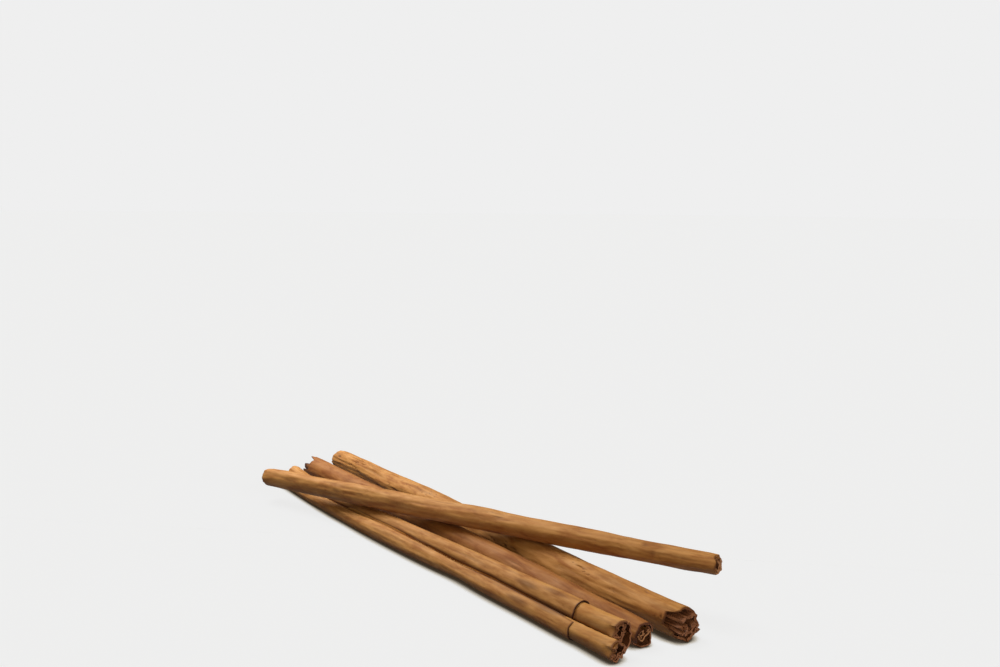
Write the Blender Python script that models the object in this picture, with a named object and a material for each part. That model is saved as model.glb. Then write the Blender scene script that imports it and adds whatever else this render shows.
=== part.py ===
"""A stack of four cinnamon sticks: three lie side by side and one lies across them.

Each stick is a sheet of dried bark that has rolled itself up, and it is modelled the way it
grows: a flat grid is wound onto a scroll drawn in the cross-section, swept along the stick's
slightly bowed line and given the bark's thickness. Three of the sticks hold inner rolls that
show at their ends, and those are sheets of their own. X runs along the sticks, Z is up, and the
table is at Z = 0. Sizes are in metres and angles in radians.
"""

import math
import random

import bmesh
import bpy

MM = 0.001
DEGREE = math.pi / 180
STATIONS = 10  # grid lengths along a stick
STEPS_PER_TURN = 14  # grid widths round one turn of a roll
BARK = 0.5 * MM
THICK_BARK = 0.9 * MM
PLAY = 0.4 * MM  # air between two layers of bark
PRESSED = 0.2 * MM  # bark lower than this is pressed flat on the table
BREAK = 1.2 * MM  # how far a broken end runs in and out
KEPT = 0.8  # a roll keeps its radius for this share of a turn, then steps inside itself

# Front stick: a double quill, whose second roll is tilted up against the middle stick.
FRONT_REACH = (-122.5 * MM, 129.6 * MM)
FRONT_SIDEWAYS = (-16.3 * MM, -18.6 * MM, -16.95 * MM, -14.5 * MM, -13.4 * MM)
FRONT_FIRST_RADII = (2.95 * MM, 2.8 * MM, 3.45 * MM, 3.4 * MM, 4.1 * MM)
FRONT_SECOND_RADII = (4.0 * MM, 3.9 * MM, 4.05 * MM, 4.3 * MM)
FRONT_SPACING = 6.7 * MM
FRONT_TILTS = (21.5 * DEGREE, 18 * DEGREE, 33 * DEGREE, 51 * DEGREE)
FRONT_WRAP = 0.64
FRONT_CORE_WRAP = 1.5
FRONT_SHEET_SHORT = 19 * MM  # the outer sheet has broken off this far from the right end

# Middle stick: one roll that tapers to the right, with a thinner roll inside.
MIDDLE_REACH = (-128.6 * MM, 129.3 * MM)
MIDDLE_SIDEWAYS = (3.0 * MM, 2.8 * MM, 2.4 * MM, 1.9 * MM)
MIDDLE_RADII = (5.7 * MM, 5.7 * MM, 5.5 * MM, 4.6 * MM)
MIDDLE_WRAP = 1.2
MIDDLE_CORE_WRAP = 1.5

# Back stick: the thickest bark, rolled round a double roll and a loose strip.
BACK_REACH = (-133.0 * MM, 135.7 * MM)
BACK_SIDEWAYS = (22.6 * MM, 20.2 * MM, 16.3 * MM, 17.6 * MM)
BACK_RADII = (5.6 * MM, 6.2 * MM, 6.75 * MM, 6.0 * MM)
BACK_WRAP = 0.96
BACK_CORE_RADIUS = 1.8 * MM
BACK_CORE_DROP = 1.4 * MM
BACK_CORE_WRAP = 1.25
BACK_STRIP_WRAP = 0.3

# Top stick: one tight roll that rests on the front and the back stick.
TOP_LENGTH = 246.8 * MM
TOP_MIDDLE = (12.2 * MM, 1.7 * MM, 16.45 * MM)
TOP_YAW = 17.2 * DEGREE
TOP_PITCH = 2.32 * DEGREE
TOP_RADII = (4.65 * MM, 4.95 * MM, 3.85 * MM)
TOP_WRAP = 2.2

TAN = (0.42, 0.22, 0.09)
RED_BROWN = (0.36, 0.15, 0.07)
DARK = (0.20, 0.08, 0.03)


def clear_scene():
    for obj in list(bpy.data.objects):
        bpy.data.objects.remove(obj)


def material(name, colour):
    made = bpy.data.materials.new(name)
    made.use_nodes = True
    shader = made.node_tree.nodes["Principled BSDF"]
    shader.inputs["Base Color"].default_value = (*colour, 1.0)
    shader.inputs["Roughness"].default_value = 0.75
    shader.inputs["Metallic"].default_value = 0.0
    return made


def blend(values, t):
    """The smooth curve through values that are spaced evenly over t, from 0 to 1."""
    last = len(values) - 1
    total = 0.0
    for index, value in enumerate(values):
        for other in range(len(values)):
            if other != index:
                value *= (t * last - other) / (index - other)
        total += value
    return total


def steps_for(turns):
    return round(turns * STEPS_PER_TURN)


def wind(centre, radius, start, turns, way, pitch):
    """Points of a sheet that winds inwards from its outer edge, each turn smaller by the pitch."""
    points = []
    steps = steps_for(turns)
    for step in range(steps + 1):
        turned = turns * step / steps
        inside = math.floor(turned)
        stepped = max(0.0, (turned - inside - KEPT) / (1.0 - KEPT))
        reach = radius - pitch * (inside + stepped)
        angle = start + way * turned * math.tau
        points.append((centre[0] + reach * math.cos(angle), centre[1] + reach * math.sin(angle)))
    return points


def single_scroll(radius, turns, pitch, seam):
    """One roll round the origin. The outer edge lies seam steps before the lowest face."""
    step = turns / steps_for(turns) * math.tau
    start = -math.pi / 2 - (seam + 0.5) * step
    return wind((0, 0), radius, start, turns, 1, pitch)


def double_scroll(radii, spacing, turns, pitch, tilt):
    """Two rolls that share one sheet, which runs straight under both and closes over the top.

    The first roll's axis is the origin, and the second is raised about it by the tilt.
    """
    first, second = radii
    start = -math.pi / 2 - math.asin((second - first) / spacing)
    left = wind((0, 0), first, start, turns, -1, pitch)
    right = wind((spacing, 0), second, start, turns, 1, pitch)
    flat = left[::-1] + right
    cosine = math.cos(tilt)
    sine = math.sin(tilt)
    return [(y * cosine - z * sine, y * sine + z * cosine) for y, z in flat]


def sheet(name, look, section, line, reach, thickness, seed):
    """A bark sheet swept along X.

    section(t) gives the cross-section's points about the roll's axis and line(t) the axis point,
    with t from 0 at the left end to 1 at the right one. reach holds the first and the last t.
    """
    outline = section(0.0)
    bm = bmesh.new()
    bmesh.ops.create_grid(bm, x_segments=STATIONS, y_segments=len(outline) - 1, size=0.5)
    bm.verts.ensure_lookup_table()
    uneven = random.Random(seed)
    chips = [(uneven.uniform(0, BREAK), uneven.uniform(0, BREAK)) for _ in outline]
    for index, vert in enumerate(bm.verts):
        column = index % (STATIONS + 1)
        row = index // (STATIONS + 1)
        t = reach[0] + (reach[1] - reach[0]) * column / STATIONS
        y, z = section(t)[row]
        axis = line(t)
        vert.co = (axis[0], axis[1] + y, axis[2] + z)
        if column == 0:
            vert.co.x += chips[row][0]
        if column == STATIONS:
            vert.co.x -= chips[row][1]
    # The grid winds with its faces towards the axis. Turned outwards, it thickens inwards.
    bmesh.ops.reverse_faces(bm, faces=bm.faces[:])
    bm.normal_update()
    bmesh.ops.solidify(bm, geom=bm.faces[:], thickness=thickness)
    mesh = bpy.data.meshes.new(name)
    bm.to_mesh(mesh)
    bm.free()
    mesh.materials.append(look)
    mesh.shade_smooth()
    mesh.set_sharp_from_angle(angle=40 * DEGREE)
    obj = bpy.data.objects.new(name, mesh)
    bpy.context.collection.objects.link(obj)
    return obj


def press_flat(obj):
    """Flattens the little bark that is nearest the table, so that the stick doesn't roll."""
    for vert in obj.data.vertices:
        if vert.co.z < PRESSED:
            vert.co.z = 0.0


def lying(reach, sideways, outline):
    """The line of a stick on the table, its axis so high that the outline's lowest bark touches."""

    def line(t):
        height = -min(z for _, z in outline(t))
        return (reach[0] + (reach[1] - reach[0]) * t, blend(sideways, t), height)

    return line


def front_stick(bark, inner_bark):
    layer = BARK + PLAY

    def rolls(t, inside, turns, pitch):
        first = blend(FRONT_FIRST_RADII, t) - inside
        second = blend(FRONT_SECOND_RADII, t) - inside
        return double_scroll((first, second), FRONT_SPACING, turns, pitch, blend(FRONT_TILTS, t))

    def outer(t):
        return rolls(t, 0.0, FRONT_WRAP, 0.0)

    def core(t):
        return rolls(t, layer, FRONT_CORE_WRAP, layer)

    line = lying(FRONT_REACH, FRONT_SIDEWAYS, outer)
    kept = 1.0 - FRONT_SHEET_SHORT / (FRONT_REACH[1] - FRONT_REACH[0])
    press_flat(sheet("stick_front", bark, outer, line, (0.0, kept), BARK, 1))
    sheet("stick_front_core", inner_bark, core, line, (0.0, 1.0), BARK, 2)


def middle_stick(bark, inner_bark):
    layer = BARK + PLAY

    def outer(t):
        return single_scroll(blend(MIDDLE_RADII, t), MIDDLE_WRAP, layer, 10)

    def core(t):
        room = blend(MIDDLE_RADII, t) - 2 * layer
        return single_scroll(room, MIDDLE_CORE_WRAP, layer, 3)

    line = lying(MIDDLE_REACH, MIDDLE_SIDEWAYS, outer)
    press_flat(sheet("stick_middle", bark, outer, line, (0.0, 1.0), BARK, 3))
    sheet("stick_middle_core", inner_bark, core, line, (0.0, 1.0), BARK, 4)


def back_stick(bark, inner_bark):
    layer = THICK_BARK + PLAY

    def outer(t):
        return single_scroll(blend(BACK_RADII, t), BACK_WRAP, 0.0, 10)

    def core(t):
        radii = (BACK_CORE_RADIUS, BACK_CORE_RADIUS)
        rolls = double_scroll(radii, 2 * BACK_CORE_RADIUS, BACK_CORE_WRAP, BARK + PLAY, 0.0)
        return [(y - BACK_CORE_RADIUS, z - BACK_CORE_DROP) for y, z in rolls]

    def strip(t):
        start = math.pi / 2 - BACK_STRIP_WRAP * math.pi
        return wind((0, 0), blend(BACK_RADII, t) - layer, start, BACK_STRIP_WRAP, 1, 0.0)

    line = lying(BACK_REACH, BACK_SIDEWAYS, outer)
    press_flat(sheet("stick_back", bark, outer, line, (0.0, 1.0), THICK_BARK, 5))
    sheet("stick_back_core", inner_bark, core, line, (0.0, 1.0), BARK, 6)
    sheet("stick_back_strip", inner_bark, strip, line, (0.0, 1.0), THICK_BARK, 7)


def top_stick(bark):
    def section(t):
        return single_scroll(blend(TOP_RADII, t), TOP_WRAP, BARK + PLAY, 10)

    def line(t):
        return ((t - 0.5) * TOP_LENGTH, 0.0, 0.0)

    stick = sheet("stick_top", bark, section, line, (0.0, 1.0), BARK, 8)
    stick.location = TOP_MIDDLE
    stick.rotation_euler = (0.0, -TOP_PITCH, TOP_YAW)


def centre_stack():
    """Moves the whole stack so that the middle of its box is over the origin."""
    bpy.context.view_layer.update()
    corners = [obj.matrix_world @ vert.co for obj in bpy.data.objects for vert in obj.data.vertices]
    for axis in (0, 1):
        places = [corner[axis] for corner in corners]
        middle = (min(places) + max(places)) / 2
        for obj in bpy.data.objects:
            obj.location[axis] -= middle


def main():
    clear_scene()
    tan = material("tan bark", TAN)
    red_brown = material("red brown bark", RED_BROWN)
    dark = material("dark inner bark", DARK)
    front_stick(tan, tan)
    middle_stick(red_brown, tan)
    back_stick(tan, dark)
    top_stick(tan)
    centre_stack()


main()
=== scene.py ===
# %% [markdown]
# # A stack of four cinnamon sticks
#
# Three cinnamon sticks lie side by side on a table, and a fourth lies across them. A cinnamon
# stick is the inner bark of a young branch. It is peeled off in long strips, the strips are laid
# inside each other, and as they dry they curl up into a tight roll, called a quill.
#
# So the sticks could be made as cylinders, but then the ends would be wrong: a real end shows the
# windings of the bark. Here each strip of bark is a flat grid that is wound up in the same way
# as the real one, and it then gets its thickness. The lesson goes from the frame, through the
# finishes and the winding, to the four sticks, and then to the table, the light and the camera.

import math

import bmesh
import bpy
from mathutils import Matrix, Vector, noise


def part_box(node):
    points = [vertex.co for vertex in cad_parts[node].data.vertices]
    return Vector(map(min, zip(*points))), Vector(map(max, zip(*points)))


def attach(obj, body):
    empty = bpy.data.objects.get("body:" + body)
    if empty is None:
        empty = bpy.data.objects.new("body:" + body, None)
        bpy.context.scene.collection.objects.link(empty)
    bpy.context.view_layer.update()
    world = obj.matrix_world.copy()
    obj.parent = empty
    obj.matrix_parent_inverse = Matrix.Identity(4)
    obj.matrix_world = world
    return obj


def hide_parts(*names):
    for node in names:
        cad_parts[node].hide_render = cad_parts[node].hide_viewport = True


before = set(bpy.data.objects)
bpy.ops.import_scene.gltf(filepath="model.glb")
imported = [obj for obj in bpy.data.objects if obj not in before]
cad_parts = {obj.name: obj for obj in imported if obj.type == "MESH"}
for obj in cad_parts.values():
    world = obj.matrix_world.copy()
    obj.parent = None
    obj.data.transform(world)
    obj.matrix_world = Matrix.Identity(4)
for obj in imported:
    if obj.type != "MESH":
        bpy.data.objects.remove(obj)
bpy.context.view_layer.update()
MM = 0.001
DEGREE = math.pi / 180


def in_mm(values):
    return [round(value / MM, 1) for value in values]


for node in sorted(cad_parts):
    low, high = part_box(node)
    print(node, "lies from", in_mm(low), "to", in_mm(high), "mm")

# %% [markdown]
# ## The finishes
#
# A material is a small graph of nodes. Each one below starts from what the real stuff is. A
# helper adds one node, sets it and links it, so that a graph reads as a short list. Colours are
# written as the hex values that a colour picker shows, and one function turns them into the
# linear values that a shader needs.

# %% Helpers for colours and nodes
def linear(hex_colour):
    """A colour picker's hex value as linear red, green, blue and an opaque alpha."""
    channels = [int(hex_colour[start:start + 2], 16) / 255 for start in (1, 3, 5)]
    curved = [c / 12.92 if c <= 0.04045 else ((c + 0.055) / 1.055) ** 2.4 for c in channels]
    return (*curved, 1.0)


def add_node(tree, kind, settings=None, inputs=None, stops=None):
    """Adds a node. Inputs are values or other nodes' outputs, and stops are a ramp's colours."""
    node = tree.nodes.new(kind)
    for name, value in (settings or {}).items():
        setattr(node, name, value)
    for socket, value in (inputs or {}).items():
        if isinstance(value, bpy.types.NodeSocket):
            tree.links.new(value, node.inputs[socket])
        else:
            node.inputs[socket].default_value = value
    if stops:
        ramp = node.color_ramp.elements
        while len(ramp) < len(stops):
            ramp.new(0.5)
        for element, (place, colour) in zip(ramp, stops):
            element.position = place
            element.color = linear(colour)
    return node


print("the hex value #808080 is a linear", round(linear("#808080")[0], 3))

# %% [markdown]
# ### Dried cinnamon bark
#
# The scraped bark is matt and fibrous. Its fibres run along the branch, so along the stick, and
# they are about a third of a millimetre wide. Where the cork was scraped off more deeply, the
# bark is lighter, and blotches of a darker red brown are left between. The blotches are some
# 4 mm across and three times as long, and the scraper's own marks are narrower. The real grit is
# finer than 0.3 mm, and it is drawn as coarse as it needs to be to show.
#
# The fibres follow the bark round its windings, so they read a UV map that is the strip of bark
# laid flat, in metres. The blotches read it too. The pattern could be painted on an image, but
# noise that is stretched along the strip gives the same look at any distance.

# %% Dried cinnamon bark
# Each pattern's length and width, and then the detail, roughness and distortion of its noise.
PATTERNS = {
    "blotches": (12 * MM, 4 * MM, 4.0, 0.55, 0.4),
    "scrapes": (9 * MM, 1.3 * MM, 3.0, 0.55, 0.0),
    "fibres": (12 * MM, 0.35 * MM, 3.0, 0.6, 0.0),
    "grit": (0.9 * MM, 0.3 * MM, 2.0, 0.6, 0.0),
}
SCRAPE_SHARE = 0.35  # of the colour, which follows the blotches for the rest
FIBRE_BUMP = 0.12 * MM
BARK_IOR = 1.45
BARK_SPECULAR = 0.25  # dry fibres scatter light, so the bark has only a faint gloss
BLOTCH_ROUGHNESS = 0.78
SCRAPED_ROUGHNESS = 0.62


def dried_bark(name, blotch, plain, scraped, fibre, shade_and_stain_colour, torn_and_step_shade, fibre_share=0.4):
    """Bark whose colour goes from blotch to scraped, with fibres, painted shade in its hollows and seams,
    stains, and torn edges.
    """
    made = bpy.data.materials.new(name)
    made.use_nodes = True
    tree = made.node_tree
    shader = tree.nodes["Principled BSDF"]
    unrolled = add_node(tree, "ShaderNodeUVMap", {"uv_map": "unrolled"}).outputs["UV"]
    drawn = {}
    for pattern, (length, width, detail, roughness, distortion) in PATTERNS.items():
        scale = (1 / length, 1 / width, 1.0)
        placed = add_node(tree, "ShaderNodeMapping", inputs={"Vector": unrolled, "Scale": scale})
        drawn[pattern] = add_node(tree, "ShaderNodeTexNoise", inputs={
            "Vector": placed.outputs["Vector"], "Scale": 1.0, "Detail": detail,
            "Roughness": roughness, "Distortion": distortion,
        }).outputs["Fac"]

    shares = {0: SCRAPE_SHARE, 2: drawn["blotches"], 3: drawn["scrapes"]}
    both = add_node(tree, "ShaderNodeMix", inputs=shares).outputs[0]
    colours = ((0.36, blotch), (0.5, plain), (0.64, scraped))
    colour = add_node(tree, "ShaderNodeValToRGB", inputs={0: both}, stops=colours).outputs[0]
    streaks = add_node(tree, "ShaderNodeMapRange", inputs={
        "Value": drawn["fibres"], "From Min": 0.5, "From Max": 0.74, "To Max": fibre_share,
    }).outputs["Result"]
    # The next mask is painted shade in fissures, flute hollows and a seam, together with the marks' stains
    # and painted shade. The one after it colours torn ends, and at the front stick's step it paints the
    # step's shade.
    painted_shade_and_stain = add_node(tree, "ShaderNodeAttribute", {"attribute_name": "painted_shade_and_stain"}).outputs["Fac"]
    edge = add_node(tree, "ShaderNodeAttribute", {"attribute_name": "torn_and_step_shade"}).outputs["Fac"]
    for share, over in ((streaks, fibre), (painted_shade_and_stain, shade_and_stain_colour), (edge, torn_and_step_shade)):
        layers = {0: share, 6: colour, 7: linear(over)}
        colour = add_node(tree, "ShaderNodeMix", {"data_type": "RGBA"}, layers).outputs[2]
    tree.links.new(colour, shader.inputs["Base Color"])

    heights = {0: drawn["fibres"], 1: drawn["grit"]}
    rise = add_node(tree, "ShaderNodeMath", {"operation": "ADD"}, heights).outputs[0]
    bump = add_node(tree, "ShaderNodeBump", inputs={
        "Height": rise, "Strength": 0.3, "Distance": FIBRE_BUMP,
    })
    tree.links.new(bump.outputs["Normal"], shader.inputs["Normal"])
    dull = add_node(tree, "ShaderNodeMapRange", inputs={
        "Value": drawn["blotches"], "From Min": 0.3, "From Max": 0.7,
        "To Min": BLOTCH_ROUGHNESS, "To Max": SCRAPED_ROUGHNESS,
    })
    tree.links.new(dull.outputs["Result"], shader.inputs["Roughness"])
    shader.inputs["IOR"].default_value = BARK_IOR
    shader.inputs["Specular IOR Level"].default_value = BARK_SPECULAR
    print(name, "has", len(tree.nodes), "nodes")
    return made


# %% [markdown]
# ### The barks of this stack
#
# One branch gives bark of several colours, by how deeply it was scraped, which side is seen and
# how fresh a break is. So the same graph is used with other colours. On the scraped faces the
# fibres are faint, and where the bark is raw or broken they stand out.

# %% The barks of this stack
FAINT_FIBRES = 0.25

# Well scraped bark, on most of the sticks: a warm, light tan, with painted shade in its creases.
tan_bark = dried_bark(
    "tan scraped bark", blotch="#915b27", plain="#aa7539", scraped="#b98547", fibre="#7e4c19",
    shade_and_stain_colour="#532c0c", torn_and_step_shade="#52290c", fibre_share=FAINT_FIBRES,
)
# Bark that kept more of its outer layer: redder, darker and more even.
red_bark = dried_bark(
    "red brown scraped bark", blotch="#7e481b", plain="#925d29", scraped="#9e6932",
    fibre="#703c15", shade_and_stain_colour="#4c220a", torn_and_step_shade="#45231a", fibre_share=FAINT_FIBRES,
)
# An inner strip, which the outer one kept clean: the lightest and most golden of them.
pale_inner_bark = dried_bark(
    "pale inner bark", blotch="#a56b2f", plain="#b58040", scraped="#c28e4e", fibre="#915c26",
    shade_and_stain_colour="#5e3612", torn_and_step_shade="#6a4020", fibre_share=FAINT_FIBRES,
)
# The side that grew against the wood, darker in itself, and folds deep in a roll, painted darker still as
# the shade that fills them, with a lighter torn edge.
inner_bark_and_painted_shade = dried_bark(
    "dark inner bark", blotch="#5c331c", plain="#774828", scraped="#925e3a", fibre="#432412",
    shade_and_stain_colour="#2f1507", torn_and_step_shade="#80502f",
)
# A fresh break in pale bark: a light, fibrous line that draws the windings at an end.
pale_broken_bark = dried_bark(
    "pale broken bark", blotch="#96643a", plain="#ac7a4c", scraped="#c2925f", fibre="#7e4c28",
    shade_and_stain_colour="#5e3612", torn_and_step_shade="#a8744a",
)
# The worn rim of an outer strip that lies close round an inner one: painted dark all over, as the thin
# line of shade at the step.
painted_shade_rim = dried_bark(
    "bark rim with painted shade", blotch="#43210f", plain="#4e2a14", scraped="#5a321a",
    fibre="#3a1c0c", shade_and_stain_colour="#2f1507", torn_and_step_shade="#361809",
)
# An older break: a rough, dull red brown, between the tan face and the dark inside.
broken_bark = dried_bark(
    "broken bark", blotch="#7c4c2e", plain="#9c6540", scraped="#b87f56", fibre="#5e361e",
    shade_and_stain_colour="#3a1c0c", torn_and_step_shade="#8e5a38",
)

# %% [markdown]
# ## Winding a strip of bark
#
# The measures below are the ones that the solids were made from, so the wound bark lies where
# they do. A stick's radius and its sideways bow change slowly along it, so each is given at a
# few evenly spaced places and a smooth curve runs through them.

# %% The sticks' measures
STACK_SHIFT = Vector((-1.342 * MM, -1.162 * MM, 0.0))  # centres the stack's box over the origin
BARK = 0.5 * MM
LAYER = 0.9 * MM  # bark and the air below it
ON_TABLE = 0.975  # a roll's axis is this share of its radius above the table: it is pressed flat


def blend(values, t):
    """The smooth curve through values that are spaced evenly over t, from 0 to 1."""
    last = len(values) - 1
    total = 0.0
    for index, value in enumerate(values):
        for other in range(len(values)):
            if other != index:
                value *= (t * last - other) / (index - other)
        total += value
    return total


def smooth(low, high, value):
    """0 at low, 1 at high, an S-shaped change between them, and level outside."""
    share = min(max((value - low) / (high - low), 0.0), 1.0)
    return share * share * (3 - 2 * share)


def bulge(middle, half, value):
    """A bell-shaped curve that is 1 in the middle and little at twice its half width."""
    return math.exp(-((value - middle) / half) ** 2)


print("a double layer of bark is", round((LAYER + BARK) / MM, 2), "mm thick")

# %% [markdown]
# ### A single roll
#
# A cross-section is a function of w, which runs from 0 to 1 across the strip. It gives the place
# on the winding and the direction that points out of the bark there. A single roll winds
# inwards from its outer edge: it keeps its radius for most of a turn and then steps inside
# itself. A true spiral would be shorter to write, but dried bark lies flat on the turn below it.

# %% A single roll
STEP_IN = (0.8, 1.0)  # where in each turn a roll steps inside itself


def on_roll(centre, radius, angle):
    outwards = (math.cos(angle), math.sin(angle))
    return (centre[0] + radius * outwards[0], centre[1] + radius * outwards[1]), outwards


def inwards(turned):
    """How many layers lie outside a winding after so many turns."""
    whole = math.floor(turned)
    return whole + smooth(STEP_IN[0], STEP_IN[1], turned - whole)


def single_roll(w, radius, turns, pitch, start):
    turned = turns * w
    return on_roll((0.0, 0.0), radius - pitch * inwards(turned), start + turned * math.tau)


print("after 1.9 turns a roll lies", round(inwards(1.9), 2), "layers inside its outer edge")

# %% [markdown]
# ### A double roll
#
# In a double roll both edges of the strip have curled up towards each other, which is how most
# hand-rolled quills dry. The strip runs straight under the two rolls, and where they meet they
# press each other flat. Two rolls that only touch would leave a far wider groove between them.

# %% A double roll
PRESSED_TO = 0.66  # two rolls press each other flat up to this share of the smaller one's radius
SWELLS_FROM = 1.4  # a pressed roll starts to swell this many radians from the other one
STILL_FACING = 0.2  # a direction with a smaller cosine than this misses the other roll
PRESS_GAP = 0.04 * MM  # air between a roll and the plane in which the two meet
ROUND_TO_MEET = 0.75  # turns from a roll's underside, the long way round, to the other roll


def meeting_planes(radii, spacing):
    """How far from each roll's axis the plane lies in which the two rolls meet."""
    first, second = radii
    from_first = (spacing ** 2 + first ** 2 - second ** 2) / (2 * spacing)
    return from_first, spacing - from_first


def closing_turns(radii, spacing):
    """How far each roll of a double roll turns until the strip's two edges meet."""
    lean = math.asin((radii[1] - radii[0]) / spacing)
    height = PRESSED_TO * min(radii)
    meeting = [math.atan2(height, plane) for plane in meeting_planes(radii, spacing)]
    return [ROUND_TO_MEET - (meeting[0] + lean) / math.tau, ROUND_TO_MEET - (meeting[1] - lean) / math.tau]


def pressed(radius, inside, plane, height, from_other):
    """The reach of a winding so far inside its roll, in a direction measured from the other roll.

    The roll is flat where it meets the other one, up to that height, and swells beside it.
    """
    angle = abs((from_other + math.pi) % math.tau - math.pi)
    corner = math.atan2(height, plane)
    swell = (math.hypot(plane, height) - radius) * smooth(SWELLS_FROM, corner, angle)
    reach = radius + swell - inside
    if math.cos(angle) < STILL_FACING:
        return reach
    return min(reach, (plane - PRESS_GAP) / math.cos(angle))


def double_roll(w, radii, spacing, turns, pitch, tilt):
    """The first roll's axis is the origin, and the second one's is raised about it by tilt."""
    first, second = radii
    planes = meeting_planes(radii, spacing)
    height = PRESSED_TO * min(radii)
    start = -math.pi / 2 - math.asin((second - first) / spacing)
    arcs = [turns[index] * math.tau * radii[index] for index in (0, 1)]
    place = w * (arcs[0] + spacing + arcs[1])
    if place < arcs[0]:
        turned = turns[0] * (1 - place / arcs[0])
        angle = start - turned * math.tau
        reach = pressed(first, pitch * inwards(turned), planes[0], height, angle)
        point, outwards = on_roll((0.0, 0.0), reach, angle)
    elif place > arcs[0] + spacing:
        turned = turns[1] * (place - arcs[0] - spacing) / arcs[1]
        angle = start + turned * math.tau
        reach = pressed(second, pitch * inwards(turned), planes[1], height, angle - math.pi)
        point, outwards = on_roll((spacing, 0.0), reach, angle)
    else:
        share = (place - arcs[0]) / spacing
        under, outwards = on_roll((0.0, 0.0), first + (second - first) * share, start)
        point = (under[0] + spacing * share, under[1])
    cosine = math.cos(tilt)
    sine = math.sin(tilt)
    return [(y * cosine - z * sine, y * sine + z * cosine) for y, z in (point, outwards)]


print("two 4 mm rolls, 6.7 mm apart, meet after", round(closing_turns((4, 4), 6.7)[0], 2), "turns each")

# %% [markdown]
# ### Relief
#
# Bark isn't smooth. It has slow lumps from the branch, lengthwise flutes from shrinking as it
# dried, and here and there a fissure or a pit. Sculpting all that by hand would be slow, so the
# grid's points are moved in and out by noise. The noise reads the place along the stick and the
# direction out of the bark, so that layers on top of each other rise and fall together, as they
# do when they dry as one roll, and never cut through each other. A few marks that each stick
# has, such as a crease or a dark patch, are added by name.
# Fissures and the hollows of the flutes are also painted darker, as painted shade, and so are the seam of
# a double roll and one mark.

# %% Relief
# Each kind of relief: its length along the stick, how often it comes back round it, and a shift
# that gives it a noise of its own.
LUMPS = (30 * MM, 1.1, 0.0)
FLUTES = (22 * MM, 3.6, 11.0)
RIPPLES = (7 * MM, 7.0, 23.0)
CRACKS = (16 * MM, 5.0, 37.0)
CRACKED_PLACES = (20 * MM, 1.5, 53.0)
CRACK_WIDTH = 0.045  # the noise of the cracks is this far from zero at a fissure's edges
# How dark the painted shade is in a fissure and in the hollow of a flute.
FISSURE_SHADE = 0.5
FLUTE_SHADE = 0.25
MARK_RAGGED = 0.25  # how uneven a mark's outline is
MOST_RISE = 0.12 * MM  # no bark stands out further, so that it keeps off the layer outside it


def rough(lumps, flutes, ripples, fissures, down):
    """How rough a bark is, in millimetres, and how far it is sunk, to leave room for its relief."""
    return {
        "lumps": lumps * MM, "flutes": flutes * MM, "ripples": ripples * MM,
        "fissures": fissures * MM, "down": down * MM,
    }


ROUGH_TAN = rough(0.3, 0.16, 0.07, 0.12, 0.12)
ROUGH_TOP = rough(0.55, 0.28, 0.13, 0.15, 0.25)
ROUGH_BACK = rough(0.55, 0.36, 0.17, 0.45, 0.28)
ROUGH_INNER = rough(0.15, 0.06, 0.04, 0.0, 0.08)
ROUGH_FOLDS = rough(0.3, 0.8, 0.5, 0.0, 0.2)


def apart(first, second):
    """The angle between two directions round a stick, in degrees."""
    return abs((first - second + 180) % 360 - 180)


def mark(place, direction, length, across, depth, stain_and_shade):
    """A dent, a darker patch, or both: millimetres from the left end, degrees round the stick, and its
    size. A darker patch is a stain, or painted shade where that is said.
    """
    return {
        "place": place * MM, "direction": direction, "length": length * MM,
        "across": across, "depth": depth * MM, "stain_and_shade": stain_and_shade,
    }


def relief_of(x, outwards, roughness, seed, marks=()):
    """How far the bark stands out at x along the stick, and how far painted shade in its hollows and its
    marks darken it there.
    """
    y, z = outwards

    def wave(length, across, shift):
        return noise.noise(Vector((x / length + shift, y * across, z * across + seed * 7.3)))

    flutes = wave(*FLUTES)
    ripples = wave(*RIPPLES)
    crack = 1 - smooth(0.0, CRACK_WIDTH, abs(wave(*CRACKS)))
    fissure = crack * smooth(-0.05, 0.35, wave(*CRACKED_PLACES)) * roughness["fissures"]
    height = wave(*LUMPS) * roughness["lumps"] + flutes * roughness["flutes"]
    height += ripples * roughness["ripples"] - fissure
    # painted shade: darker in fissures and in the hollows of the flutes
    shade_and_stain = smooth(0.0, 0.3 * MM, fissure) * FISSURE_SHADE + smooth(0.1, 0.5, -flutes) * FLUTE_SHADE
    direction = math.degrees(math.atan2(z, y))
    ragged = 1.0 + MARK_RAGGED * ripples
    for each in marks:
        along = abs(x - each["place"]) / each["length"]
        if along < 1.0:
            near = math.hypot(along, ragged * apart(direction, each["direction"]) / each["across"])
            share = smooth(1.0, 0.25, near)
            height -= share * each["depth"]
            shade_and_stain = max(shade_and_stain, share * each["stain_and_shade"])
    return min(height - roughness["down"], MOST_RISE), min(shade_and_stain, 1.0)


print("the roughest bark has lumps of", ROUGH_BACK["lumps"] / MM, "mm")

# %% [markdown]
# ### Broken ends
#
# The strips are broken to length and not sawn. So each row of the grid starts and stops at a
# slightly different place, and larger nicks and shards are given by their direction round the
# stick. An end that was handled is also rounded, and one that was pressed is crumpled inwards.
# Cutting the nicks out with a Boolean would leave faces that don't follow the fibres.

# %% Broken ends
COARSE_CHIPS = 3.5 * MM
FINE_CHIPS = 1.2 * MM
ROUNDED = 0.45  # how deep a worn end is rounded, as a share of its worn length
CRUMPLED_FOR = 5 * MM


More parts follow.
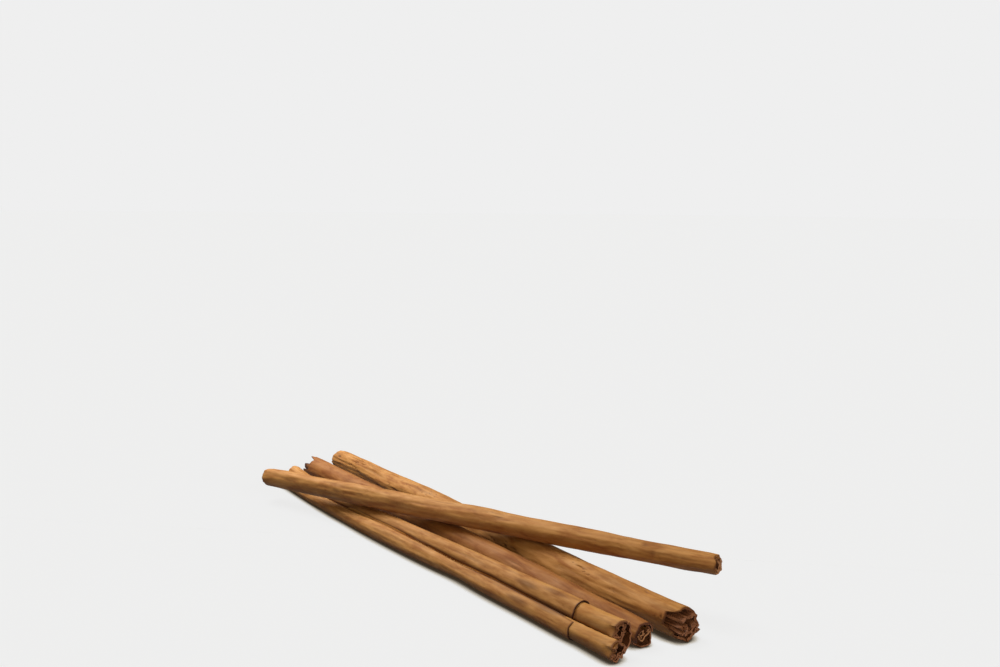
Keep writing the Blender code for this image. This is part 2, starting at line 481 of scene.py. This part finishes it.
def broken(chipped=1.0, worn=1.0, torn_and_step_shade=1.5, nicks=(), slant=0.0, crumpled=0.0):
    """One end of a strip, in millimetres: how ragged it is, how far it is rounded, how far its
    colour is changed, its nicks as (direction, half width in degrees, depth), how much more has
    broken off the half of the strip with its last row, and how crumpled the end is."""
    return {
        "chipped": chipped * MM, "worn": worn * MM, "torn_and_step_shade": torn_and_step_shade * MM,
        "nicks": nicks, "slant": slant * MM, "crumpled": crumpled * MM,
    }


def lost(end, w, width, outwards, seed):
    """How much of a row has broken off at one end."""
    coarse = noise.noise(Vector((w * width / COARSE_CHIPS, seed * 3.1, 0.5)))
    fine = noise.noise(Vector((w * width / FINE_CHIPS, seed * 5.7, 8.5)))
    total = end["chipped"] * (0.5 + 0.7 * coarse + 0.3 * fine) + end["slant"] * smooth(0.35, 0.65, w)
    direction = math.degrees(math.atan2(outwards[1], outwards[0]))
    for middle, half, depth in end["nicks"]:
        near = apart(direction, middle) / half
        total += depth * MM * smooth(1.15 + 0.2 * fine, 0.75 + 0.2 * coarse, near)
    return total


def bent_in(end, distance, outwards, seed):
    """How far the bark goes inwards, so far from an end, because it is rounded or crumpled."""
    folds = noise.noise(Vector((outwards[0] * 2.6, outwards[1] * 2.6, seed * 1.7)))
    bent = -end["crumpled"] * smooth(CRUMPLED_FOR, 0.0, distance) * min(folds, 0.1)
    if distance < end["worn"]:
        share = 1 - max(distance, 0.0) / end["worn"]
        bent += ROUNDED * end["worn"] * (1 - math.sqrt(1 - share ** 2))
    return bent


print("an end that is broken in the usual way is worn for", broken()["worn"] / MM, "mm")

# %% [markdown]
# ### The strip of bark
#
# The strip is one grid, with its columns along the stick and its rows round the winding. The
# columns are close together where the bark shows and far apart inside, where nobody looks. A
# Solidify modifier then gives the grid the bark's thickness, towards the inside, and gives the
# inner face and the broken rim materials of their own.

# %% Columns of the grid
def spaced(length, stretches):
    """Stations from 0 to 1, where stretches lists how far each reaches and its step, in metres."""
    stations = [0.0]
    for reach, step in stretches:
        start = stations[-1]
        count = max(1, round((reach - start) / step))
        stations += [start + (reach - start) * (index + 1) / count for index in range(count)]
    return [station / length for station in stations]


def ends_only(length):
    """Stations for a strip that shows at its two ends only."""
    return spaced(length, [(12 * MM, 0.4 * MM), (length - 12 * MM, 3 * MM), (length, 0.4 * MM)])


def all_along(length):
    """Stations for a strip that shows all along, a little closer at its ends."""
    return spaced(length, [(8 * MM, 0.35 * MM), (length - 8 * MM, 0.6 * MM), (length, 0.35 * MM)])


print("an outer strip of 250 mm has", len(all_along(250 * MM)), "columns")

# %% Winding the grid
# The curled edges are also painted darker, as the shade in the seam where they meet.
CURLED_FOR = 1.6 * MM  # how far in from its long edges a strip is curled
OVER_TABLE = 0.02 * MM
OTHER_END = 40  # added to the seed for the right end, so that it breaks in its own way


def wound_bark(name, section, line, reach, length, stations, rows, width, roughness, seed, looks,
               thickness=BARK, left=broken(), right=broken(), marks=(), closer=1.0, curled=0.0):
    """A strip of bark wound along a line.

    section(t, w) is the cross-section and line(t) its axis, with t from 0 at the stick's left
    end to 1 at its right end. reach holds the strip's own first and last t. Width is the
    strip's width laid flat. left and right say how its ends are broken. A closer value above 1
    sets the rows closer together at the strip's outer edge. curled is how far the strip's two
    long edges turn in, and they are painted darker there, as the shade in the seam where they
    meet. looks are its outer face, inner face and rim.
    """
    bm = bmesh.new()
    bmesh.ops.create_grid(bm, x_segments=len(stations) - 1, y_segments=rows, size=0.5)
    unrolled = bm.loops.layers.uv.new("unrolled")
    painted_shade_and_stain = bm.verts.layers.float.new("painted_shade_and_stain")
    torn_and_step_shade_layer = bm.verts.layers.float.new("torn_and_step_shade")
    laid_flat = {}
    for vert in bm.verts:
        station = stations[round((vert.co.x + 0.5) * (len(stations) - 1))]
        w = (vert.co.y + 0.5) ** closer
        outwards = section(reach[0] * (1 - station) + reach[1] * station, w)[1]
        first = reach[0] + lost(left, w, width, outwards, seed) / length
        last = reach[1] - lost(right, w, width, outwards, seed + OTHER_END) / length
        t = first * (1 - station) + last * station
        from_left = (t - first) * length
        from_right = (last - t) * length
        (y, z), outwards = section(t, w)
        rise, shade_and_stain = relief_of(t * length, outwards, roughness, seed, marks)
        rise -= bent_in(left, from_left, outwards, seed) + bent_in(right, from_right, outwards, seed)
        if curled:
            near_edge = smooth(CURLED_FOR, 0.0, min(w, 1 - w) * width)
            rise -= curled * near_edge
            # painted shade along the seam, where the curled edges meet
            shade_and_stain = max(shade_and_stain, near_edge)
        axis = line(t)
        vert.co = (axis[0], axis[1] + y + outwards[0] * rise, axis[2] + z + outwards[1] * rise)
        if axis[2] > 0.0:  # it lies on the table
            vert.co.z = max(vert.co.z, OVER_TABLE)
        vert[painted_shade_and_stain] = shade_and_stain
        # the ends take the torn colour; at the front stick's step this is painted shade
        near_end = max(1 - from_left / left["torn_and_step_shade"], 1 - from_right / right["torn_and_step_shade"], 0.0)
        vert[torn_and_step_shade_layer] = smooth(0.0, 1.0, near_end)
        laid_flat[vert] = (t * length, w * width)
    for face in bm.faces:
        for loop in face.loops:
            loop[unrolled].uv = laid_flat[loop.vert]
    # The grid winds with its faces towards the axis, so they are turned outwards.
    bmesh.ops.reverse_faces(bm, faces=bm.faces[:])
    mesh = bpy.data.meshes.new(name)
    bm.to_mesh(mesh)
    bm.free()
    obj = bpy.data.objects.new(name, mesh)
    bpy.context.collection.objects.link(obj)
    for look in looks:
        mesh.materials.append(look)
    thicken = obj.modifiers.new("thickness of the bark", "SOLIDIFY")
    thicken.thickness = thickness
    thicken.offset = -1.0
    thicken.material_offset = 1
    thicken.material_offset_rim = 2
    return obj


print("a strip's right end breaks by the seed of its left end and", OTHER_END)

# %% [markdown]
# ### Into its place
#
# A stick on the table touches it with its lowest bark, so its axis follows from its radius. When
# a strip is wound, its modifier and its place are applied to the mesh, and the piece stands in
# for the solid of the same strip. The Edge Split modifier could give the broken rim its sharp
# edges, but marking them in the mesh keeps it in one closed piece.

# %% Into its place
SHARP_FROM = 50 * DEGREE


def lying(reach, sideways, radii, low=ON_TABLE):
    """The axis of a stick on the table, from its reach in x, its sideways bow and its radii."""
    def line(t):
        return (reach[0] + (reach[1] - reach[0]) * t, blend(sideways, t), blend(radii, t) * low)

    return line


def settle(obj, node, place=None):
    """Applies the modifiers and the place, marks sharp edges, and stands the piece for its node."""
    ready = obj.evaluated_get(bpy.context.evaluated_depsgraph_get())
    obj.data = bpy.data.meshes.new_from_object(ready)
    obj.modifiers.clear()
    if place:
        obj.data.transform(place)
    obj.data.transform(Matrix.Translation(STACK_SHIFT))
    obj.data.shade_smooth()
    obj.data.set_sharp_from_angle(angle=SHARP_FROM)
    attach(obj, "root")
    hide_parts(node)
    triangles = sum(len(face.vertices) - 2 for face in obj.data.polygons)
    print(obj.name, "has", triangles, "triangles")


print("a pressed roll of 5 mm has its axis", 5 * ON_TABLE, "mm above the table")

# %% [markdown]
# ## The middle stick
#
# A single roll of smooth, reddish bark that tapers to the right. Inside it is a thin strip whose
# two edges have curled up, a wide one and a narrow one, and it shows at the ends. At the left
# end the outer bark has broken back in a curve and leaves a dark shard of the inner strip.

# %% The middle stick's rolls
MIDDLE_REACH = (-128.6 * MM, 129.3 * MM)
MIDDLE_LENGTH = MIDDLE_REACH[1] - MIDDLE_REACH[0]
MIDDLE_SIDEWAYS = (3.0 * MM, 2.8 * MM, 2.4 * MM, 1.9 * MM)
MIDDLE_RADII = (5.7 * MM, 5.7 * MM, 5.5 * MM, 4.6 * MM)
MIDDLE_WRAP = 1.2
MIDDLE_START = 3 * DEGREE
# The inner strip's two curls, in shares of the stick's radius, and their turns.
MIDDLE_CURLS = (0.43, 0.24)
MIDDLE_CURLS_APART = 0.7
MIDDLE_CURLS_LEFT = 0.33
MIDDLE_CURLS_UP = 0.08
MIDDLE_CURL_TURNS = (1.2, 0.9)
MIDDLE_CURL_TILT = 12 * DEGREE
CURL_PITCH = 0.75 * MM  # from one turn of a thin inner strip to the next


def middle_outer(t, w):
    return single_roll(w, blend(MIDDLE_RADII, t), MIDDLE_WRAP, LAYER, MIDDLE_START)


def middle_core(t, w):
    room = blend(MIDDLE_RADII, t)
    radii = [share * room for share in MIDDLE_CURLS]
    (y, z), outwards = double_roll(
        w, radii, MIDDLE_CURLS_APART * room, MIDDLE_CURL_TURNS, CURL_PITCH, MIDDLE_CURL_TILT,
    )
    return (y - MIDDLE_CURLS_LEFT * room, z + MIDDLE_CURLS_UP * room), outwards


print("the middle stick is", round(MIDDLE_LENGTH / MM, 1), "mm long")

# %% The middle stick
middle_line = lying(MIDDLE_REACH, MIDDLE_SIDEWAYS, MIDDLE_RADII)
middle = wound_bark(
    "middle_stick_bark", middle_outer, middle_line, (0.0, 1.0), MIDDLE_LENGTH,
    all_along(MIDDLE_LENGTH), 84, 42 * MM, ROUGH_TAN, 3, (red_bark, inner_bark_and_painted_shade, broken_bark),
    left=broken(1.5, 0.8, 1.2, [(140, 42, 6.5), (60, 25, 1.5)]),
    right=broken(1.2, 0.8, 1.0, [(225, 22, 2.0)]),
)
settle(middle, "stick_middle")
middle_inner = wound_bark(
    "middle_stick_inner_roll", middle_core, middle_line, (0.0, 1.0), MIDDLE_LENGTH,
    ends_only(MIDDLE_LENGTH), 60, 28 * MM, ROUGH_INNER, 4,
    (red_bark, inner_bark_and_painted_shade, pale_broken_bark),
    left=broken(1.5, 0.8, 8.0, [(60, 70, 5.0)]), right=broken(1.4, 0.4, 1.2, crumpled=1.5),
)
settle(middle_inner, "stick_middle_core")

# %% [markdown]
# ## The front stick
#
# A double roll. The outer strip has broken off 19 mm before the right end, and the inner double
# roll, whose bark is smoother, stands out of it. The inner strip fits closely, so that only a
# thin step shows where the outer one ends. The first roll is a little thicker and then a little
# thinner near the middle of the stick, which gives it a knee.
# The outer strip's rim and its last 0.7 mm are painted dark, as the shade of the step, and the seam where
# its edges meet is painted darker as shade.

# %% The front stick's rolls
FRONT_REACH = (-122.5 * MM, 129.6 * MM)
FRONT_LENGTH = FRONT_REACH[1] - FRONT_REACH[0]
FRONT_SIDEWAYS = (-16.3 * MM, -18.6 * MM, -16.95 * MM, -14.5 * MM, -13.4 * MM)
FRONT_FIRST_RADII = (2.95 * MM, 2.8 * MM, 3.45 * MM, 3.4 * MM, 4.1 * MM)
FRONT_SECOND_RADII = (4.0 * MM, 3.9 * MM, 4.05 * MM, 4.3 * MM)
FRONT_SPACING = 6.7 * MM
FRONT_TILTS = (21.5 * DEGREE, 18 * DEGREE, 33 * DEGREE, 51 * DEGREE)
FRONT_SHEET_SHORT = 19 * MM
FRONT_KEPT = 1.0 - FRONT_SHEET_SHORT / FRONT_LENGTH
FRONT_INSET = 0.5 * MM  # the inner strip lies this far inside the outer one
FRONT_CORE_TURNS = (2.3, 3.0)
FRONT_PAST = 2.9 * MM  # how far the inner rolls stand out past the right end
FRONT_ON_TABLE = 0.985  # as ON_TABLE, for a lighter stick
KNEE_THICKER = 0.45 * MM
KNEE_THINNER = 0.7 * MM
SEAM_OPEN = 0.004  # turns by which each edge of the outer strip stays short of the other
SEAM_UNEVEN = 0.006
SEAM_WAVE = 9 * MM
LIFTED = 0.5 * MM  # how far the outer strip stands off the inner one where it ends


def front_radii(t, inset):
    x = t * FRONT_LENGTH
    thicker = KNEE_THICKER * bulge(105 * MM, 20 * MM, x)
    thinner = KNEE_THINNER * bulge(165 * MM, 14 * MM, x)
    first = blend(FRONT_FIRST_RADII, t) + thicker - thinner
    return first - inset, blend(FRONT_SECOND_RADII, t) - inset


def front_outer(t, w):
    radii = front_radii(t, 0.0)
    x = t * FRONT_LENGTH
    apart_by = SEAM_OPEN + SEAM_UNEVEN * noise.noise(Vector((x / SEAM_WAVE, 0.5, 0.5)))
    turns = [turned - apart_by for turned in closing_turns(radii, FRONT_SPACING)]
    (y, z), outwards = double_roll(w, radii, FRONT_SPACING, turns, 0.0, blend(FRONT_TILTS, t))
    near_step = smooth(4 * MM, 0.0, (FRONT_KEPT - t) * FRONT_LENGTH)
    lifted = LIFTED * near_step * smooth(0.35, 0.6, w)
    return (y + outwards[0] * lifted, z + outwards[1] * lifted), outwards


def front_core(t, w):
    radii = front_radii(t, FRONT_INSET)
    tilt = blend(FRONT_TILTS, t)
    return double_roll(w, radii, FRONT_SPACING, FRONT_CORE_TURNS, CURL_PITCH, tilt)


print("the outer strip covers", round(FRONT_KEPT, 3), "of the front stick")

# %% The front stick
front_line = lying(FRONT_REACH, FRONT_SIDEWAYS, FRONT_FIRST_RADII, FRONT_ON_TABLE)
front = wound_bark(
    "front_stick_bark", front_outer, front_line, (0.0, FRONT_KEPT), FRONT_LENGTH,
    all_along(FRONT_LENGTH * FRONT_KEPT), 90, 38 * MM, ROUGH_TAN, 1,
    # The rim is painted shade all over, and the right end's last 0.7 mm is darkened as the step's shade.
    (tan_bark, inner_bark_and_painted_shade, painted_shade_rim), thickness=0.4 * MM,
    left=broken(1.0, 2.0, 1.5), right=broken(0.7, 0.1, 0.7, slant=1.5), curled=0.15 * MM,
    marks=[mark(204, 137, 9, 26, 0.05, 0.55), mark(219, 108, 10, 22, 0.05, 0.5)],
)
settle(front, "stick_front")
front_inner = wound_bark(
    "front_stick_inner_rolls", front_core, front_line, (0.0, 1.0 + FRONT_PAST / FRONT_LENGTH),
    FRONT_LENGTH,
    spaced(FRONT_LENGTH, [(8 * MM, 0.6 * MM), (FRONT_LENGTH - 27 * MM, 3 * MM), (FRONT_LENGTH, 0.4 * MM)]),
    220, 98 * MM, ROUGH_INNER, 2, (pale_inner_bark, inner_bark_and_painted_shade, broken_bark),
    left=broken(1.0, 1.5, 1.5), right=broken(1.6, 0.5, 1.2, slant=3.4, crumpled=1.6),
    # This mark has no dent: it is painted shade on the front of the lower roll near its right end.
    marks=[mark(243, 192, 26, 50, 0.0, 0.4)],
)
settle(front_inner, "stick_front_core")

# %% [markdown]
# ## The back stick
#
# The thickest and roughest bark, with fissures along it. It is rolled round a double roll and a
# strip that dips between the two rolls. At the right end the outer bark has broken back at the
# front, and the strips inside it have broken into folds, dark as inner bark and darker still with
# painted shade.

# %% The back stick's rolls
BACK_REACH = (-133.0 * MM, 135.7 * MM)
BACK_LENGTH = BACK_REACH[1] - BACK_REACH[0]
BACK_SIDEWAYS = (22.6 * MM, 20.2 * MM, 16.3 * MM, 17.6 * MM)
BACK_RADII = (5.6 * MM, 6.2 * MM, 6.75 * MM, 6.0 * MM)
BACK_WRAP = 0.96
BACK_START = -9 * DEGREE
THICK_BARK = 0.9 * MM
BACK_CURL = 0.385  # the radius of an inner roll, as a share of the stick's
BACK_CURLS_APART = 2.04  # the next three are shares of an inner roll's radius
BACK_CURLS_LEFT = 1.02
BACK_CURLS_DOWN = 0.38
BACK_CURL_TURNS = (1.7, 1.7)
BACK_CURL_PITCH = 0.8 * MM
BACK_STRIP_WRAP = 0.3
BACK_STRIP_INSET = 1.0 * MM
BACK_STRIP_DIP = 2.0 * MM
BACK_STRIP_FLARE = 0.7 * MM


def back_outer(t, w):
    return single_roll(w, blend(BACK_RADII, t), BACK_WRAP, 0.0, BACK_START)


def back_core(t, w):
    roll = BACK_CURL * blend(BACK_RADII, t)
    (y, z), outwards = double_roll(
        w, (roll, roll), BACK_CURLS_APART * roll, BACK_CURL_TURNS, BACK_CURL_PITCH, 0.0,
    )
    return (y - BACK_CURLS_LEFT * roll, z - BACK_CURLS_DOWN * roll), outwards


def back_strip(t, w):
    start = math.pi / 2 - BACK_STRIP_WRAP * math.pi
    dip = BACK_STRIP_DIP * bulge(0.5, 0.2, w)
    flare = BACK_STRIP_FLARE * smooth(0.99, 1.0, t)
    reach = blend(BACK_RADII, t) - BACK_STRIP_INSET - dip + flare
    return on_roll((0.0, 0.0), reach, start + BACK_STRIP_WRAP * w * math.tau)


print("the back stick is", round(BACK_LENGTH / MM, 1), "mm long")

# %% The back stick
back_line = lying(BACK_REACH, BACK_SIDEWAYS, BACK_RADII)
back = wound_bark(
    "back_stick_bark", back_outer, back_line, (0.0, 1.0), BACK_LENGTH,
    all_along(BACK_LENGTH), 90, 37 * MM, ROUGH_BACK, 5,
    (tan_bark, inner_bark_and_painted_shade, broken_bark), thickness=THICK_BARK,
    left=broken(1.6, 2.2, 1.0),
    right=broken(2.0, 0.8, 1.0, [(165, 34, 4.0), (225, 30, 2.0), (110, 75, 2.2)]),
    marks=[
        mark(8, 134, 2.5, 8, 0.3, 0.9), mark(27, 106, 14, 4, 0.3, 0.5),
        mark(46, 112, 9, 4, 0.3, 0.5), mark(33, 173, 3.5, 9, 0.25, 0.6),
        mark(56, 188, 4.5, 9, 0.25, 0.6),
    ],
)
settle(back, "stick_back")
back_inner = wound_bark(
    "back_stick_inner_rolls", back_core, back_line, (0.0, 1.0), BACK_LENGTH,
    ends_only(BACK_LENGTH), 130, 40 * MM, ROUGH_FOLDS, 6,
    (inner_bark_and_painted_shade, inner_bark_and_painted_shade, broken_bark), thickness=0.65 * MM,
    left=broken(1.0), right=broken(2.2, 0.5, 2.0, crumpled=2.0),
)
settle(back_inner, "stick_back_core")
back_loose = wound_bark(
    "back_stick_loose_strip", back_strip, back_line, (0.0, 1.0), BACK_LENGTH,
    ends_only(BACK_LENGTH), 40, 11 * MM, ROUGH_FOLDS, 7,
    (inner_bark_and_painted_shade, inner_bark_and_painted_shade, broken_bark), thickness=0.8 * MM,
    left=broken(1.0), right=broken(1.6, 0.5, 2.0, crumpled=1.5),
)
settle(back_loose, "stick_back_strip")

# %% [markdown]
# ## The top stick
#
# One tight roll of thicker bark, laid across the others. It is wound along x like the rest, and
# then turned and raised into its place. It could be wound along a slanting line at once, but its
# cross-sections would then be slanting too, and its radii wrong.

# %% The top stick
TOP_LENGTH = 246.8 * MM
TOP_MIDDLE = Vector((12.2 * MM, 1.7 * MM, 16.45 * MM))
TOP_YAW = 17.2 * DEGREE
TOP_PITCH = 2.32 * DEGREE
TOP_RADII = (4.65 * MM, 4.95 * MM, 3.85 * MM)
TOP_WRAP = 2.2
TOP_START = 2 * DEGREE


def top_section(t, w):
    return single_roll(w, blend(TOP_RADII, t), TOP_WRAP, LAYER, TOP_START)


def top_line(t):
    return ((t - 0.5) * TOP_LENGTH, 0.0, 0.0)


top = wound_bark(
    "top_stick_bark", top_section, top_line, (0.013, 1.0), TOP_LENGTH, all_along(TOP_LENGTH),
    114, 55 * MM, ROUGH_TOP, 8, (tan_bark, inner_bark_and_painted_shade, pale_broken_bark),
    thickness=0.72 * MM, closer=1.5,
    left=broken(0.8, 2.0, 1.0), right=broken(1.0, 0.5, 0.5, [(100, 30, 0.8)], crumpled=0.8),
    marks=[
        mark(24.7, 156, 6, 10, 0.2, 0.5), mark(57, 163, 4, 14, 0.05, 0.5),
        mark(72.4, 153, 3, 8, 0.1, 0.6), mark(150.7, 133, 5, 5, 0.3, 0.8),
        mark(218, 125, 2, 14, 0.12, 0.5), mark(222, 160, 2, 20, 0.12, 0.5),
    ],
)
turn = Matrix.Rotation(TOP_YAW, 4, "Z") @ Matrix.Rotation(-TOP_PITCH, 4, "Y")
settle(top, "stick_top", Matrix.Translation(TOP_MIDDLE) @ turn)

# %% [markdown]
# ## The table
#
# The table is a sheet of frosted acrylic that is lit from below, as in a product studio: it is
# pale all over and takes only faint shadows. The dark line where a stick touches it is a painted
# shadow, a darkening of its glow near the bark.
# It is so large that its edge is lost in the pale backdrop. A plain white surface would need far
# stronger light from above to look as pale, and the sticks would then be too bright.

# %% Table
FLOOR_SIDE = 60.0
# The table's contact shadow is painted into its glow.
CONTACT_REACH = 5 * MM  # how far from a stick its contact shadow reaches
PALE = "#efefef"
bm = bmesh.new()
bmesh.ops.create_grid(bm, x_segments=1, y_segments=1, size=FLOOR_SIDE / 2)
floor_mesh = bpy.data.meshes.new("table")
bm.to_mesh(floor_mesh)
bm.free()
floor = bpy.data.objects.new("table", floor_mesh)
bpy.context.collection.objects.link(floor)

# Frosted acrylic: no gloss, and a glow of its own, into which a warm dark contact shadow is painted where
# a stick is near.
acrylic = bpy.data.materials.new("frosted acrylic lit from below")
acrylic.use_nodes = True
graph = acrylic.node_tree
shader = graph.nodes["Principled BSDF"]
shader.inputs["Base Color"].default_value = linear("#616467")
shader.inputs["Roughness"].default_value = 1.0
shader.inputs["Specular IOR Level"].default_value = 0.0
shader.inputs["Emission Strength"].default_value = 0.9
painted_contact_shadow_mask = add_node(graph, "ShaderNodeAmbientOcclusion", inputs={"Distance": CONTACT_REACH})
# painted contact shadow: the glow is dark brown close to the bark and pale further off
glow_with_painted_shadow = add_node(
    graph, "ShaderNodeValToRGB", inputs={0: painted_contact_shadow_mask.outputs["AO"]},
    stops=((0.38, "#33281a"), (0.6, "#bdb4a4"), (0.76, PALE)),
)
graph.links.new(glow_with_painted_shadow.outputs["Color"], shader.inputs["Emission Color"])
floor_mesh.materials.append(acrylic)
floor.visible_diffuse = False
print("the table is", FLOOR_SIDE, "m square")

# %% [markdown]
# ## The light
#
# The light is a soft studio light from above, from the left and a little from the front. A weak
# one from the right shows the broken ends, and a lamp near the left ends makes them brighter.
# The lamp lights the sticks only, so that it leaves no bright patch on the table. The air gives
# a weak light that is warm and darker near the table. Large area lamps would do as well as suns,
# but a sun's light is the same all along a stick, which makes it easier to set.

# %% Light
KEY_FROM = Vector((-0.45, -0.1, 0.88))
FILL_FROM = Vector((0.97, -0.05, 0.22))
LAMP_PLACE = Vector((-0.3, -0.04, 0.34))
LAMP_AT = Vector((-0.08, 0.0, 0.0))


def add_light(name, kind, energy, comes_from):
    """A light that shines from a direction towards the origin."""
    light = bpy.data.lights.new(name, kind)
    light.energy = energy
    obj = bpy.data.objects.new(name, light)
    obj.rotation_mode = "QUATERNION"
    obj.rotation_quaternion = comes_from.to_track_quat("Z", "Y")
    bpy.context.collection.objects.link(obj)
    return obj


key = add_light("soft key", "SUN", 1.05, KEY_FROM)
key.data.angle = 35 * DEGREE
fill = add_light("weak fill on the ends", "SUN", 1.8, FILL_FROM)
fill.data.angle = 40 * DEGREE
lamp = add_light("lamp at the left ends", "AREA", 2.3, LAMP_PLACE - LAMP_AT)
lamp.data.size = 0.25
lamp.location = LAMP_PLACE
lit_by_lamp = bpy.data.collections.new("lit by the lamp")
for piece in (middle, middle_inner, front, front_inner, back, back_inner, back_loose, top):
    lit_by_lamp.objects.link(piece)
lamp.light_linking.receiver_collection = lit_by_lamp
print("the key light comes from", [round(v, 2) for v in KEY_FROM])

# %% Air and backdrop
AIR_LOW = linear("#351d08")
AIR_HIGH = linear("#90856f")
AIR_TOP = 0.6  # the air is as light as it gets from this height of a direction up

world = bpy.data.worlds.new("studio")
world.use_nodes = True
bpy.context.scene.world = world
sky = world.node_tree
sky.nodes.clear()
direction = add_node(sky, "ShaderNodeTexCoord").outputs["Generated"]
parts = add_node(sky, "ShaderNodeSeparateXYZ", inputs={0: direction})
raised = add_node(sky, "ShaderNodeMapRange", inputs={"Value": parts.outputs["Z"], "From Max": AIR_TOP})
shares = {0: raised.outputs["Result"], 6: AIR_LOW, 7: AIR_HIGH}
air = add_node(sky, "ShaderNodeMix", {"data_type": "RGBA"}, shares)
lit = add_node(sky, "ShaderNodeBackground", inputs={"Color": air.outputs[2]})
backdrop = add_node(sky, "ShaderNodeBackground", inputs={"Color": linear(PALE)})
seen = add_node(sky, "ShaderNodeLightPath").outputs["Is Camera Ray"]
either = {0: seen, 1: lit.outputs[0], 2: backdrop.outputs[0]}
chosen = add_node(sky, "ShaderNodeMixShader", inputs=either)
add_node(sky, "ShaderNodeOutputWorld", inputs={"Surface": chosen.outputs[0]})
print("the air is a linear", [round(v, 3) for v in AIR_HIGH[:3]], "overhead")

# %% [markdown]
# ## The camera
#
# The camera stands low and to the right, near the sticks' broken ends, so the long sticks run
# away from it. Its lens is a little wider than a normal one.

# %% Camera
CAMERA_PLACE = Vector((338.74 * MM, -223.29 * MM, 147.84 * MM))
CAMERA_AZIMUTH = 142.74 * DEGREE
CAMERA_DOWN = 7.51 * DEGREE
CAMERA_ROLL = 0.55 * DEGREE

camera_data = bpy.data.cameras.new("camera")
camera_data.sensor_width = 36.0
camera_data.lens = 33.85
camera_data.clip_start = 0.01
camera_data.clip_end = 200.0
camera = bpy.data.objects.new("camera", camera_data)
bpy.context.collection.objects.link(camera)
sideways = Matrix.Rotation(CAMERA_AZIMUTH - math.pi / 2, 4, "Z")
upwards = Matrix.Rotation(math.pi / 2 - CAMERA_DOWN, 4, "X")
rolled = Matrix.Rotation(CAMERA_ROLL, 4, "Z")
camera.matrix_world = Matrix.Translation(CAMERA_PLACE) @ sideways @ upwards @ rolled
bpy.context.scene.camera = camera
bpy.context.scene.view_settings.view_transform = "Standard"
print("the camera is", round(CAMERA_PLACE.length / MM), "mm from the middle of the stack")
